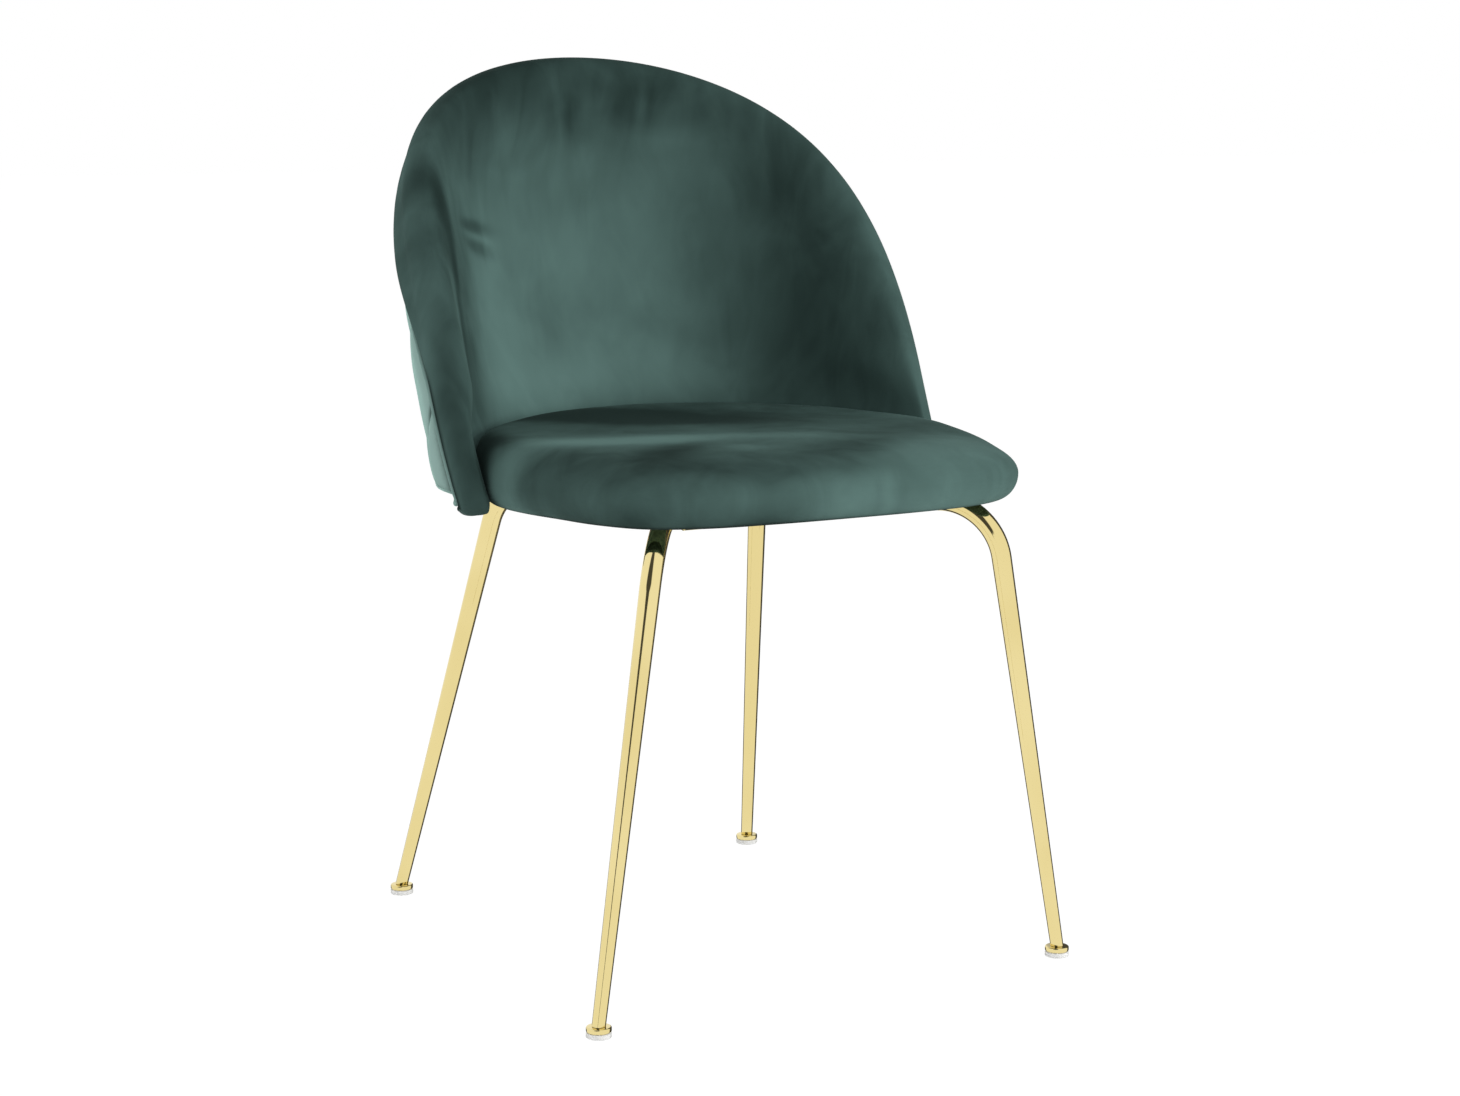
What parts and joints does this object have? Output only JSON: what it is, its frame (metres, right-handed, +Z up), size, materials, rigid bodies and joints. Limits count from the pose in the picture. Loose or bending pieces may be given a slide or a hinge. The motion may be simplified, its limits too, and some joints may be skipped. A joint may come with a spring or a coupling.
{
  "type": "dining chair",
  "caption": "Dining chair with an arched wrap-round padded back, quilted outside, a rounded velvet cushion and slim tapered gold legs",
  "frame": {"origin": "On the floor, at the centre of the chair's footprint box", "axes": "+Z up, +X to the right in a view from the front, the sitter faces -Y"},
  "size_m": [0.4882, 0.535, 0.7743],
  "materials": {
    "velvet": "dark teal-green velvet with a short directional pile",
    "velvet_trim": "velvet piping, two ridges side by side",
    "foam": "open-cell upholstery foam",
    "plywood": "moulded birch plywood, sanded",
    "black_cloth": "non-woven dust cloth",
    "gold": "polished pale gold plating",
    "black_steel": "black powder coat",
    "zinc_steel": "zinc-plated steel",
    "clear_plastic": "pale translucent plastic"
  },
  "bodies": {
    "root": {"back_front_cover": "velvet", "back_front_foam": "foam", "back_plywood_shell": "plywood", "back_quilted_panel": "velvet", "back_piping": "velvet_trim", "seat_cover": "velvet", "seat_foam": "foam", "seat_board": "plywood", "seat_dust_cover": "black_cloth", "seat_bolt_front_left": "zinc_steel", "seat_insert_front_left": "zinc_steel", "seat_bolt_front_right": "zinc_steel", "seat_insert_front_right": "zinc_steel", "seat_bolt_rear_left": "zinc_steel", "seat_insert_rear_left": "zinc_steel", "seat_bolt_rear_right": "zinc_steel", "seat_insert_rear_right": "zinc_steel", "seat_bolt_hub_left": "zinc_steel", "seat_insert_hub_left": "zinc_steel", "seat_bolt_hub_right": "zinc_steel", "seat_insert_hub_right": "zinc_steel", "seat_bolt_strap_left": "zinc_steel", "seat_insert_strap_left": "zinc_steel", "seat_bolt_strap_centre": "zinc_steel", "seat_insert_strap_centre": "zinc_steel", "seat_bolt_strap_right": "zinc_steel", "seat_insert_strap_right": "zinc_steel", "leg_front_left": "gold", "glide_front_left": "clear_plastic", "foot_disc_front_left": "gold", "mounting_tab_front_left": "black_steel", "leg_front_right": "gold", "glide_front_right": "clear_plastic", "foot_disc_front_right": "gold", "mounting_tab_front_right": "black_steel", "leg_rear_left": "gold", "glide_rear_left": "clear_plastic", "foot_disc_rear_left": "gold", "mounting_tab_rear_left": "black_steel", "leg_rear_right": "gold", "glide_rear_right": "clear_plastic", "foot_disc_rear_right": "gold", "mounting_tab_rear_right": "black_steel", "hub_plate": "black_steel", "front_cross_tube": "gold", "back_strap_left": "black_steel", "back_bolt_left": "zinc_steel", "back_insert_left": "zinc_steel", "back_strap_centre": "black_steel", "back_bolt_centre": "zinc_steel", "back_insert_centre": "zinc_steel", "back_strap_right": "black_steel", "back_bolt_right": "zinc_steel", "back_insert_right": "zinc_steel"}
  },
  "joints": []
}
